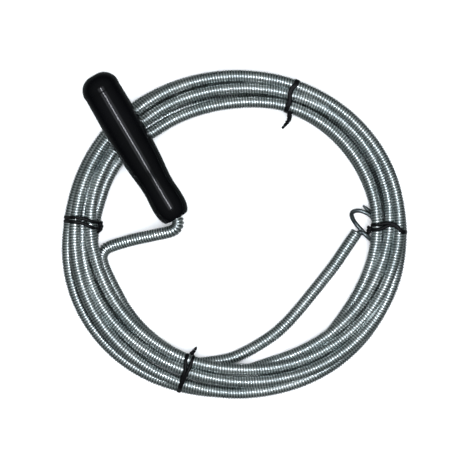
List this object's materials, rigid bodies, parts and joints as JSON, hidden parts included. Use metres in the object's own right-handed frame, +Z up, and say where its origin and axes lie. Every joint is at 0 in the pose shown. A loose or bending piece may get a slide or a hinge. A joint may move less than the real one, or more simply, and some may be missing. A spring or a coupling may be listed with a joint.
{
  "type": "drain auger",
  "caption": "Coiled spring-cable drain auger with a crank, a free-spinning moulded grip, a corkscrew tip and wire ties round the coil.",
  "frame": {"origin": "on the floor under the middle of the whole object's box, which is the middle of the coil", "axes": "+X along the coil's longer diameter, towards the corkscrew side; +Y towards the tie beside the grip's domed end; +Z up from the floor"},
  "size_m": [0.2687, 0.253, 0.0539],
  "materials": {
    "spring_steel": "zinc-plated close-wound spring wire",
    "tip_wire": "zinc-plated bent wire",
    "grip_plastic": "glossy moulded black",
    "turned_steel": "plain turned",
    "tie_cover": "satin black covering",
    "tie_core": "drawn soft wire"
  },
  "bodies": {
    "cable": {"cable_coil": "spring_steel", "cable_crank": "spring_steel", "cable_free_end": "spring_steel", "cable_spindle": "spring_steel", "corkscrew_tip": "tip_wire", "retaining_washer": "turned_steel", "retaining_screw": "turned_steel", "tie_top": "tie_cover", "tie_left": "tie_cover", "tie_right": "tie_cover", "tie_bottom": "tie_cover", "tie_top_wire": "tie_core", "tie_left_wire": "tie_core", "tie_right_wire": "tie_core", "tie_bottom_wire": "tie_core"},
    "grip": {"handle_grip": "grip_plastic", "grip_end_cap": "grip_plastic", "grip_liner": "turned_steel"}
  },
  "joints": [
    {"name": "grip_spin", "type": "hinge", "parent": "cable", "child": "grip", "pos_m": [-0.0444, 0.0133, 0.0255], "axis": [-0.5, 0.8574, 0.1219], "continuous": true}
  ]
}
